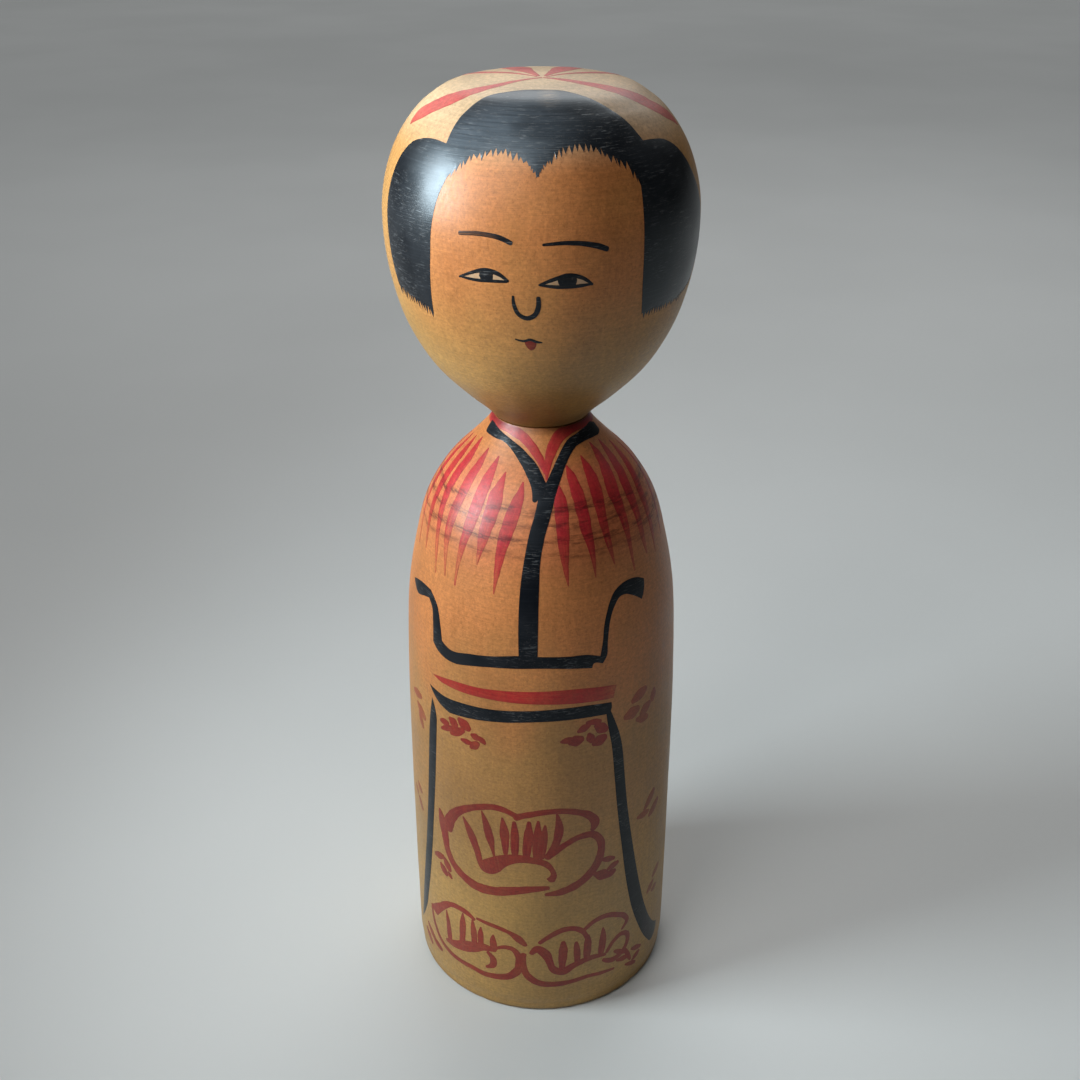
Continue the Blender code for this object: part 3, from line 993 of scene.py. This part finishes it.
def paint_shoulders(chart, dye):
    """Pleats: spindle strokes that fan down from the collar and thin out to faded tails."""
    pleats = (
        ((-12, 152.6, 0.3), (-12.7, 150.4, 1.5), (-14.6, 147.6, 2.4), (-16.8, 143.6, 2.5),
         (-18.5, 139.5, 2), (-19.6, 135.2, 1.3, 0.9), (-20.6, 128.6, 0.2, 0.7)),
        ((-26, 153.8, 0.3), (-26.6, 151.6, 1.6), (-27, 149.4, 2.7), (-27.6, 145.8, 2.8),
         (-28.5, 142, 2.3, 0.9), (-29.2, 138.2, 1.3, 0.7), (-30, 134.6, 0.3, 0.5)),
        ((-37, 156.2, 0.3), (-37, 153.6, 1.8), (-37, 150.4, 2.5), (-37.2, 146.6, 2.6),
         (-37.8, 142.6, 2.3, 0.9), (-39, 138.2, 1.6, 0.8), (-40, 133.4, 0.8, 0.6), (-40.2, 128, 0.4, 0.8)),
        ((-51.5, 156.8, 0.3), (-50.6, 154.2, 1.8), (-50.4, 150.8, 2.5), (-50.2, 147, 2.5, 0.9),
         (-50.4, 143.2, 2.3, 0.8), (-50, 139.2, 1.8, 0.7), (-48.8, 134.8, 1, 0.6), (-46.8, 129, 0.3, 0.6)),
        ((-69, 157.6, 0.5), (-66, 155, 2.3), (-64.2, 151.4, 2.8), (-63.2, 147.4, 2.5), (-61, 143.8, 2, 0.9),
         (-58.4, 139.6, 1.4, 0.8), (-55.8, 134, 0.9, 0.6), (-53.6, 128.4, 0.3, 0.5)),
        ((-80.5, 156.8, 0.5), (-77, 154, 2.5), (-74.4, 150.2, 2.9), (-72.8, 146.2, 2.4),
         (-70.4, 142, 1.8, 0.9), (-68, 137.6, 1, 0.7), (-65.4, 132, 0.4, 0.5)),
        ((-92, 156, 0.5), (-89, 152, 2.5), (-86, 147, 2.5), (-82.5, 142, 1.4, 0.8), (-79, 137.6, 0.9, 0.7),
         (-75, 131, 0.4, 0.5)),
        ((-104, 155, 0.3), (-100, 150.5, 1.7), (-96.5, 145.5, 1.8, 0.9), (-93, 140, 1.3, 0.8),
         (-89, 133, 0.4, 0.6)),
        ((11.2, 151.9, 0.4), (10.9, 150, 1.8), (10.8, 147.8, 2.4), (10.6, 144.8, 2.4), (10.5, 141.6, 2.2),
         (10.6, 137.8, 1.5, 0.9), (11.6, 131.2, 0.2, 0.8)),
        ((19.5, 155.2, 0.4), (21, 153.2, 1.7), (21.8, 151, 2.2), (22.4, 147.6, 2.4), (22.6, 143.4, 2.1),
         (23.7, 139, 1.3, 0.9), (24.4, 132.2, 0.2, 0.7)),
        ((34.6, 156.4, 0.3), (35.4, 153.8, 2), (34.8, 150.8, 2.6), (33.4, 147.4, 2.3),
         (32.7, 143.8, 1.8, 0.9), (33, 139.8, 1.3, 0.8), (34.6, 134, 0.2, 0.7)),
        ((51, 158, 0.3), (51.4, 155.4, 2.1), (48.8, 152, 3.1), (46.6, 149.6, 3.1), (45.6, 146, 2.5),
         (45.4, 142.2, 1.7, 0.8), (45.1, 138, 1, 0.8), (45.6, 130.6, 0.3, 0.6)),
        ((64.5, 157.6, 0.3), (63.3, 154.4, 2.5), (60.8, 151.2, 3), (58.2, 148.4, 2.9),
         (56.4, 144.4, 2.3, 0.9), (55.5, 140.4, 1.6, 0.7), (55.2, 136.4, 1.1, 0.7),
         (55.9, 132.8, 0.3, 0.6)),
        ((79, 155.8, 0.5), (75, 152.2, 2.8), (71, 148.6, 2.8), (67.6, 145, 2.4, 0.9), (65.6, 141, 1.6, 0.7),
         (64.4, 136.4, 1.1, 0.7), (63.6, 131.4, 0.3, 0.5)),
        ((92, 154.6, 0.3), (89.5, 150.6, 1.7), (85.5, 146.4, 1.7, 0.9), (80.5, 142.4, 1.4, 0.8),
         (77, 138.4, 1, 0.7), (74.6, 133.4, 0.4, 0.5)),
        ((105, 154.6, 0.3), (101, 150, 1.7), (96.5, 145, 1.7, 0.9), (92, 139.6, 1.2, 0.8),
         (88, 133, 0.4, 0.5)),
    )
    film("shoulder_pleats", chart, strokes(chart, pleats, 51, 1.35), dye, DYE_FILM, 1)


def paint_large_flower(chart, dye):
    lines = (
        ((-48.7, 60.4, 0.5), (-47, 57.2, 2.2), (-45.6, 52.4, 1.9), (-44.6, 48.8, 1.7), (-41.5, 45.2, 1.8),
         (-35.5, 42.4, 1.9), (-28.5, 41, 2.1), (-20.5, 41.3, 2.1), (-11, 42.8, 1.8), (-2, 43.9, 1.4),
         (3, 44.2, 0.9)),
        ((2, 42, 0.7), (8, 42.5, 1.5), (14.5, 44, 1.8), (20, 46.4, 1.8), (24.2, 49.8, 1.8), (26, 53.6, 1.6),
         (25.2, 57.6, 1.5), (22, 59.8, 1.5), (16.5, 60, 1.3), (10.5, 58.3, 1.3), (5.5, 55.9, 1.3),
         (3, 54.2, 0.8)),
        ((-43, 55.8, 1.8), (-42.4, 58.8, 2.5), (-39.4, 62, 2), (-33.5, 65.3, 1.5), (-25.5, 67.9, 1.3),
         (-19, 68.9, 1.3), (-14, 68.3, 1.2), (-9.4, 66.8, 1.2)),
        ((-10.5, 66.8, 1.4), (-5, 68, 1.3), (0.5, 68.8, 1.2), (7.5, 69, 1.2), (15, 68, 1.3),
         (20.6, 66, 1.6), (23, 63.6, 1.8), (21.8, 61.4, 1)),
        ((-34.6, 62.4, 0.4), (-32.4, 60, 1.3), (-30.2, 57, 1.7), (-28.4, 54, 1.6), (-26.8, 50, 1.2)),
        ((-25.4, 66.6, 0.3), (-23.4, 62.8, 1.4), (-22, 59, 1.7), (-20.8, 55.6, 0.9), (-20, 52.8, 0.4)),
        ((-16.2, 66, 0.4), (-15.5, 62.5, 1.6), (-15.1, 58, 1.5), (-15, 54.6, 0.8)),
        ((-11.2, 65.2, 0.7), (-11, 61.5, 1.6), (-11, 57.5, 1.6), (-11, 54.2, 1)),
        ((-5, 65.6, 0.7), (-5.2, 61.5, 1.7), (-5.8, 57.5, 1.7), (-6.2, 54, 1.2)),
        ((-1.2, 66, 0.5), (-1.4, 62, 1.5), (-1.8, 58, 1.6), (-2, 54.2, 1.1)),
        ((1.6, 64.6, 0.5), (1.2, 61, 1.4), (0.6, 57.6, 1.5), (0.2, 54.2, 1)),
        ((6.4, 68.4, 0.3), (7.4, 64.4, 1.5), (7, 61, 1.6), (5.4, 57.6, 1.4), (2.6, 54.4, 1.4)),
    )
    heart = patch(
        chart,
        ((-24, 51.4), (-17, 53.9), (-10, 54.9), (-2, 54.1), (3, 52.9), (5.6, 50.4), (6.6, 48), (5.6, 46.2)),
        ((4.2, 46.1), (2.2, 47.4)),
        ((4, 48.6), (3.4, 50), (0.5, 51.6), (-4, 52.3), (-10, 52.1), (-14.6, 50.5), (-17.4, 48.4)),
        ((-21.5, 46.8), (-25.5, 47), (-28, 49.4)),
    )
    buds = (
        (-53.5, 43.5, -47.5, 44.8, 1.1), (-49.5, 41.8, -45.6, 39.3, 1.1), (-46.8, 44.6, -43.4, 41.6, 1.1),
        (-44.5, 40.7, -42.5, 39.2, 0.6), (26.5, 50.5, 32.5, 49.5, 0.9), (29.5, 46.5, 34.5, 47.6, 0.9),
        (23.5, 46.3, 30, 44.5, 1.5), (28.5, 44.3, 33, 45.2, 1.1),
    )
    shapes = strokes(chart, lines, 71, 1.4) + [heart] + dabs(chart, buds, 91, 2.2)
    film("large_chrysanthemum", chart, shapes, dye, DYE_FILM, 0.8)


def paint_left_flower(chart, dye):
    lines = (
        ((-58.8, 23, 0.7), (-58.3, 19.5, 0.9), (-56, 16, 1), (-52, 13.2, 1), (-46, 11.6, 1.1),
         (-39, 11, 1.2), (-32, 11, 1.2), (-26, 10.5, 1.3), (-19.5, 11, 1.5), (-14, 12.2, 1.7),
         (-10.6, 14.6, 1.8), (-9.4, 17.5, 1.7), (-10, 20.2, 1.4), (-12.4, 22.2, 1.2), (-16, 22.4, 1),
         (-21, 20.8, 0.7)),
        ((-53, 25, 0.8), (-48, 28.2, 1.1), (-40.5, 30.2, 1.3), (-34, 30, 1.3), (-30.5, 28.9, 0.8)),
        ((-29, 29.6, 0.6), (-23, 29.2, 1), (-17.5, 28.6, 1), (-13, 27.6, 1.1), (-9.4, 25.9, 1.7),
         (-6.8, 24.2, 0.9)),
        ((-47.6, 15.2, 0.8), (-43, 15.8, 1.8), (-37, 17.2, 2.6), (-31, 18.9, 2.5), (-25.6, 20.3, 1.8),
         (-20.6, 20.4, 1)),
        ((-47, 26.2, 0.4), (-46, 22.4, 1.2), (-45.6, 18.8, 1.4), (-45.2, 15.8, 1.2)),
        ((-36.6, 29, 0.4), (-36.8, 25.8, 1.5), (-37.2, 22, 1.6), (-37.6, 18.2, 1.4)),
        ((-31.4, 28.4, 0.4), (-31, 25.2, 1.4), (-30.8, 22.2, 1.4), (-30.6, 19.4, 1.4)),
        ((-27.2, 27, 0.4), (-27.4, 24.6, 1.3), (-27.4, 22.4, 1.4), (-27.4, 20, 1.3)),
        ((-21.2, 25.8, 0.3), (-21.4, 23.8, 1.4), (-21.2, 22, 1.5), (-21, 20.4, 1.2)),
        ((-24, 18.9, 0.8), (-21.6, 17.2, 1.3), (-21.6, 15, 1.4), (-24.8, 13.4, 0.7)),
    )
    wedge = patch(
        chart,
        ((-50, 27.6), (-41, 30.3)),
        ((-46.5, 27), (-54, 21.2)),
        ((-57, 21.6), (-59.4, 22.8)),
    )
    bud = ((-64.5, 13.5, -57.5, 10.4, 1.1), (-59, 10.6, -52, 9.4, 1.1), (-67, 10.5, -61, 7.6, 1.1))
    shapes = strokes(chart, lines, 101, 1.35) + [wedge] + dabs(chart, bud, 121, 2)
    film("left_chrysanthemum", chart, shapes, dye, DYE_FILM, 0.8)


def paint_right_flower(chart, dye):
    lines = (
        ((-7.6, 20.8, 1.2), (-7.8, 16.2, 1.5), (-5.5, 12.8, 1.6), (-1, 10.7, 1.5), (6.5, 10, 1.4),
         (14, 10.3, 1.1), (21.5, 10.8, 1), (27.5, 10.3, 0.9), (34.5, 9.8, 0.6)),
        ((-4.2, 21.4, 1), (-1.6, 23, 1.8), (1.6, 21.4, 2), (3.6, 18.6, 1.6), (4.6, 16.4, 1.2)),
        ((-0.6, 25.2, 0.8), (5, 28, 1.2), (10, 29.4, 1.3), (14, 29.3, 1.2), (18, 27.8, 1.2),
         (20.2, 25.2, 0.9)),
        ((18, 27.4, 0.8), (23.5, 30, 1.1), (29, 30.6, 1.2), (35, 29.2, 1.2), (39.6, 27.2, 1.2),
         (41.2, 25.2, 1.1), (38.4, 22.9, 0.6)),
        ((3.8, 17.6, 1.2), (6.4, 15, 1.8), (9.6, 14.4, 1.8), (14, 15.9, 1.6), (22.5, 17.3, 1.4),
         (29.6, 16.6, 0.8)),
        ((9.6, 25, 0.9), (9.6, 22, 1.8), (9.4, 19.2, 1.7), (9.2, 15.8, 1.2)),
        ((15.4, 24.2, 0.7), (15.8, 21.4, 1.4), (16, 19, 1.4), (16, 16.8, 1)),
        ((20.6, 25.6, 0.9), (20.8, 22.8, 1.6), (20.6, 20, 1.6), (20.4, 17.4, 1.2)),
        ((28, 26.6, 0.4), (28.2, 23.4, 1.5), (27.8, 20.2, 1.7), (27.2, 17.4, 1.3)),
        ((30.4, 17.2, 0.8), (34, 20.2, 1.1), (38, 21.3, 1.1), (41.4, 20.2, 1.1), (42, 17.2, 1.1),
         (39, 14.4, 1.2), (33.6, 13.4, 1.4), (28.6, 14.9, 0.8)),
    )
    bud = (
        (40.5, 15, 44.5, 9.4, 0.8), (45, 13, 51.5, 11.2, 0.9), (46, 8.4, 50.5, 9.8, 1),
        (41.5, 8.6, 48, 6.7, 0.8), (36, 12.2, 43, 11.2, 0.9), (34.5, 16.2, 40.5, 13.6, 0.9),
    )
    shapes = strokes(chart, lines, 131, 1.35) + dabs(chart, bud, 151, 2)
    film("right_chrysanthemum", chart, shapes, dye, DYE_FILM, 0.8)


def paint_blossoms(chart, dye, faded_dye):
    """Little blossoms of a few dabs each, on the apron and down both sides."""
    apron = (
        (-46, 89.2, -41.5, 89.6, 1), (-40.4, 91.4, -37, 90.2, 1.4), (-35.5, 92.4, -30.8, 90.6, 1.6),
        (-45.5, 87, -38, 89.2, 0.9), (-40, 87, -33.5, 89.6, 1.2), (-34.5, 86.6, -29.5, 86.6, 0.9),
        (-29.4, 89.2, -26, 88.6, 1), (-29.8, 85.3, -26.5, 87.2, 1.2), (-26, 89.2, -23.4, 87.8, 0.9),
        (8, 90, 13, 90.5, 0.9), (11.5, 89.4, 16.4, 90.2, 1.6), (15, 92.4, 19.5, 93.8, 1.1),
        (18.5, 94.6, 24.5, 94.2, 0.9), (22.5, 93.2, 27, 91.2, 1.5), (19.5, 91.2, 20.8, 88.8, 1.1),
        (21.6, 87.9, 26.5, 89.2, 1.6),
    )
    film("apron_blossoms", chart, dabs(chart, apron, 161, 2), dye, DYE_FILM, 0.7)
    sides = (
        (40.5, 96.3, 48, 98, 1.5), (54.4, 96, 53.2, 93, 1.1), (36.5, 92.6, 43.5, 93.4, 1.6),
        (45.5, 91.2, 51, 92.9, 1.4), (43, 90.2, 49.5, 89.2, 1.2), (45.5, 58.6, 53, 58.1, 1),
        (50, 59.6, 57, 63.6, 1.2), (54, 56.2, 61, 58.8, 1.3), (55.5, 28.8, 60.5, 30.8, 1.1),
        (60, 32.6, 66, 34.2, 1.1), (59.5, 27.6, 64, 28, 0.9), (-69.5, 90.4, -61, 91.2, 1.1),
        (-65, 88, -58, 85.6, 1.3), (-63.5, 85.8, -60, 82.2, 1), (-69, 61, -64.5, 59.4, 0.9),
        (-68.5, 56.4, -64, 53.8, 0.9), (-73, 58.6, -69.5, 57, 0.9),
    )
    film("side_blossoms", chart, dabs(chart, sides, 181, 2.2), faded_dye, DYE_FILM, 0.7)


# -------- forms, room and camera


def standing_face_marks(angle, radius):
    """The sawn and turned standing face: fine rings, a centre hole and four marks of the lathe's chuck."""
    rings = 0.05 * (0.5 - 0.5 * math.cos(radius * 2.6))
    rings += 0.03 * noise.noise(Vector((radius * 1.9, 3.0, 0.0)))
    centre = 0.9 * math.exp(-((radius / 1.5) ** 2))
    groove = 0.35 * math.exp(-(((radius - 21.0) / 0.9) ** 2))
    quarter = (angle + 20) % 90 - 45
    across = math.radians(quarter) * radius
    prong = 0.9 * math.exp(-((across / 0.8) ** 2) - ((radius - 11.0) / 2.6) ** 4)
    inside_edge = min(1.0, max(0.0, (32.0 - radius) / 2.0))
    return (max(0.0, rings) + centre + groove + prong) * inside_edge


def skin_over(form, name, finish):
    made = form.skin(name)
    made.data.materials.append(finish["material"])
    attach(made, form.name)
    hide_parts(form.name)
    return made


def make_floor():
    bpy.ops.mesh.primitive_plane_add(size=8.0, location=(0, 0, -0.0001))
    floor = bpy.context.object
    floor.name = "studio_floor"
    shader = Shader("studio_floor_paint")
    patches = shader.noise((0.004, 0.004, 0.004), detail=3.0)
    colour = shader.mix(shader.span(patches, 0.3, 0.7), (0.64, 0.65, 0.64, 1.0), (0.68, 0.69, 0.68, 1.0))
    fine = shader.noise((0.5, 0.5, 0.5), detail=2.0)
    shader.finish(colour, shader.span(fine, 0.3, 0.7, 0.55, 0.65), fine, 0.01, "")
    floor.data.materials.append(shader.material)


def softbox(name, place, target, size, watts, colour, spread=180):
    light = bpy.data.lights.new(name, "AREA")
    light.spread = math.radians(spread)
    light.shape = "RECTANGLE"
    light.size, light.size_y = size
    light.energy = watts
    light.color = colour
    lamp = bpy.data.objects.new(name, light)
    lamp.location = place
    lamp.rotation_euler = (Vector(target) - Vector(place)).to_track_quat("-Z", "Y").to_euler()
    bpy.context.scene.collection.objects.link(lamp)


def make_lights():
    softbox("window", (-0.34, -0.09, 0.32), (0, 0, 0.24), (0.17, 0.17), 0.90, (0.86, 0.96, 1.0), 100)
    softbox("front_fill", (-0.30, -0.40, 0.60), (0, 0, 0.30), (0.30, 0.30), 0.34, (1.0, 0.98, 0.96), 90)
    softbox("overhead", (-0.25, -0.45, 1.0), (0, 0, 0.2), (0.5, 0.5), 0.35, (0.90, 0.96, 1.0), 110)
    softbox("backlight", (0.1, 0.75, 0.95), (0, 0, 0.2), (0.9, 0.6), 3.6, (0.97, 0.99, 1.0))
    softbox("floor_wash", (0, 2.3, 1.5), (0, 2.3, 0), (4.5, 2.6), 24.0, (0.97, 0.99, 1.0))
    world = bpy.data.worlds.new("studio")
    bpy.context.scene.world = world
    world.use_nodes = True
    background = world.node_tree.nodes["Background"]
    background.inputs["Color"].default_value = (0.86, 0.90, 0.90, 1.0)
    # The room is pale to look at, and hardly lights the doll
    path = world.node_tree.nodes.new("ShaderNodeLightPath")
    strength = world.node_tree.nodes.new("ShaderNodeMapRange")
    strength.inputs["To Min"].default_value = 0.02
    strength.inputs["To Max"].default_value = 0.42
    world.node_tree.links.new(path.outputs["Is Camera Ray"], strength.inputs["Value"])
    world.node_tree.links.new(strength.outputs["Result"], background.inputs["Strength"])


def make_camera():
    camera = bpy.data.cameras.new("camera")
    camera.lens = CAMERA_LENS
    camera.sensor_width = CAMERA_SENSOR
    camera.clip_start = 0.01
    holder = bpy.data.objects.new("camera", camera)
    holder.location = CAMERA_PLACE
    holder.rotation_euler = (math.radians(90 - CAMERA_DOWN_DEGREES), 0, 0)
    bpy.context.scene.collection.objects.link(holder)
    bpy.context.scene.camera = holder


def build_head(form, ink, pale):
    skin_over(form, "head_skin", wood_finish("waxed_head_wood", head_layers, "head_wood"))
    side = SideChart(form, by_height=False)
    red = dye_finish("red_dye_on_head", head_layers, (0.84, 0.17, 0.28, 1.0))
    lip_red = dye_finish("red_dye_on_lip", head_layers, (0.42, 0.05, 0.08, 1.0))
    paint_hair(side, ink)
    face_ink = ink_finish("brown_black_ink_on_face", head_layers, 0.4, (0.090, 0.050, 0.028, 1.0))
    paint_face(side, face_ink, lip_red, pale)
    paint_crown(CrownChart(form), red)


def build_body(form, ink):
    skin_over(form, "body_skin", wood_finish("waxed_body_wood", body_layers, "body_wood"))
    side = SideChart(form, by_height=True)
    red = dye_finish("red_dye_on_body", body_layers, (0.80, 0.07, 0.38, 1.0))
    strong_red = dye_finish("red_dye_on_sash", body_layers, (0.84, 0.06, 0.24, 1.0))
    faded_red = dye_finish("faded_dye_on_body", body_layers, (0.66, 0.22, 0.32, 1.0), 0.9, 0.10)
    paint_red_collar(side, red)
    paint_robe_lines(side, ink)
    paint_sash(side, ink, strong_red)
    paint_shoulders(side, red)
    brown_red = dye_finish("red_dye_on_skirt", body_layers, (0.60, 0.04, 0.10, 1.0))
    paint_large_flower(side, brown_red)
    paint_left_flower(side, brown_red)
    paint_right_flower(side, brown_red)
    paint_blossoms(side, brown_red, faded_red)


HEAD_DENTS = ((128, 214, 1.6, 0.12), (-150, 196, 1.2, 0.10), (24, 232, 1.3, 0.08))
FOOT_DENTS = (
    (-28, 0.9, 1.1, 0.22), (47, 0.6, 0.9, 0.20), (118, 1.0, 1.6, 0.28), (-121, 0.7, 1.0, 0.22),
    (171, 0.8, 1.3, 0.25), (-160, 74, 1.4, 0.10), (152, 118, 1.1, 0.08),
)

body_form = TurnedForm("body", True, 3.7, FOOT_DENTS, standing_face_marks)
head_form = TurnedForm("head", False, 9.1, HEAD_DENTS)
build_body(body_form, ink_finish("black_ink_on_body", body_layers, 0.2))
hair_ink = ink_finish("black_ink_on_head", head_layers, 0.6, rubbed=fringe_sheen_and_wear)
build_head(head_form, hair_ink, pale_finish())

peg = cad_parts["neck_peg"]
peg.data.materials.clear()
peg.data.materials.append(bare_wood_finish()["material"])

make_floor()
make_lights()
make_camera()
bpy.context.scene.view_settings.view_transform = "Standard"
